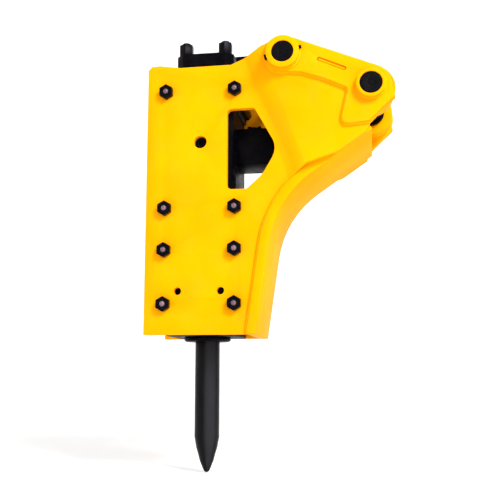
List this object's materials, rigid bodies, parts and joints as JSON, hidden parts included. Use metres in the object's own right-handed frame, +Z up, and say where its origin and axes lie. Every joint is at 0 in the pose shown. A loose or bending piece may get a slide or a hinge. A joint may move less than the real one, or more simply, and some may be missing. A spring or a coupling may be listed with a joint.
{
  "type": "hydraulic breaker hammer",
  "caption": "Hydraulic breaker hammer bolted between two bent side plates, with a chisel at the foot and an ear with two pins that hangs it on an excavator.",
  "frame": {"origin": "middle of the arm pin, on the bracket's middle plane", "axes": "+X toward the excavator, +Y to the far side along the pins, +Z up, opposite to the way the chisel points"},
  "size_m": [0.68, 0.368, 1.2093],
  "materials": {
    "yellow_paint": "gloss",
    "black_paint": "satin",
    "black_steel": "blackened",
    "forged_steel": "forged",
    "ground_steel": "ground",
    "bush_bronze": "machined",
    "seal_rubber": "matt"
  },
  "bodies": {
    "hammer_in_bracket": {"side_plate_near": "yellow_paint", "side_plate_far": "yellow_paint", "back_plate": "yellow_paint", "ear_doubler_near": "yellow_paint", "ear_doubler_far": "yellow_paint", "link_boss_near": "yellow_paint", "link_boss_far": "yellow_paint", "arm_boss_near": "yellow_paint", "arm_boss_far": "yellow_paint", "bridge_plate": "black_paint", "front_head": "black_paint", "cylinder": "black_paint", "back_head": "black_paint", "valve_block": "black_paint", "front_cover": "black_paint", "arm_spacer_near": "black_paint", "arm_spacer_far": "black_paint", "arm_pin": "black_steel", "link_pin": "black_steel", "arm_lock_bolt": "black_steel", "link_lock_bolt": "black_steel", "stop_pin_near": "black_steel", "stop_pin_far": "black_steel", "valve_cap": "black_steel", "hose_adapter_in": "black_steel", "hose_adapter_out": "black_steel", "side_bolt_front_1": "black_steel", "side_bolt_front_2": "black_steel", "side_bolt_front_3": "black_steel", "side_bolt_front_4": "black_steel", "side_bolt_rear_1": "black_steel", "side_bolt_rear_2": "black_steel", "side_bolt_rear_3": "black_steel", "side_bolt_rear_4": "black_steel", "side_nut_front_1": "black_steel", "side_nut_front_2": "black_steel", "side_nut_front_3": "black_steel", "side_nut_front_4": "black_steel", "side_nut_rear_1": "black_steel", "side_nut_rear_2": "black_steel", "side_nut_rear_3": "black_steel", "side_nut_rear_4": "black_steel", "through_bolt_near_front": "black_steel", "through_bolt_near_rear": "black_steel", "through_bolt_far_front": "black_steel", "through_bolt_far_rear": "black_steel", "through_nut_near_front": "black_steel", "through_nut_near_rear": "black_steel", "through_nut_far_front": "black_steel", "through_nut_far_rear": "black_steel", "thrust_ring": "ground_steel", "retaining_pin_near": "ground_steel", "retaining_pin_far": "ground_steel", "seal_retainer": "ground_steel", "lower_bush": "bush_bronze", "dust_seal": "seal_rubber"},
    "tool": {"chisel": "forged_steel"},
    "piston": {"piston": "ground_steel"},
    "spool": {"valve_spool": "ground_steel"},
    "adjuster": {"throttle_adjuster": "ground_steel"}
  },
  "joints": [
    {"name": "tool_slide", "type": "slide", "parent": "hammer_in_bracket", "child": "tool", "axis": [0, 0, 1], "range_m": [0, 0.038]},
    {"name": "piston_stroke", "type": "slide", "parent": "hammer_in_bracket", "child": "piston", "axis": [0, 0, 1], "range_m": [0, 0.06]},
    {"name": "spool_stroke", "type": "slide", "parent": "hammer_in_bracket", "child": "spool", "axis": [0, 0, 1], "range_m": [0, 0.012]},
    {"name": "throttle_turn", "type": "hinge", "parent": "hammer_in_bracket", "child": "adjuster", "pos_m": [-0.245, 0, -0.122], "axis": [1, 0, 0], "range_deg": [0, 270]}
  ]
}
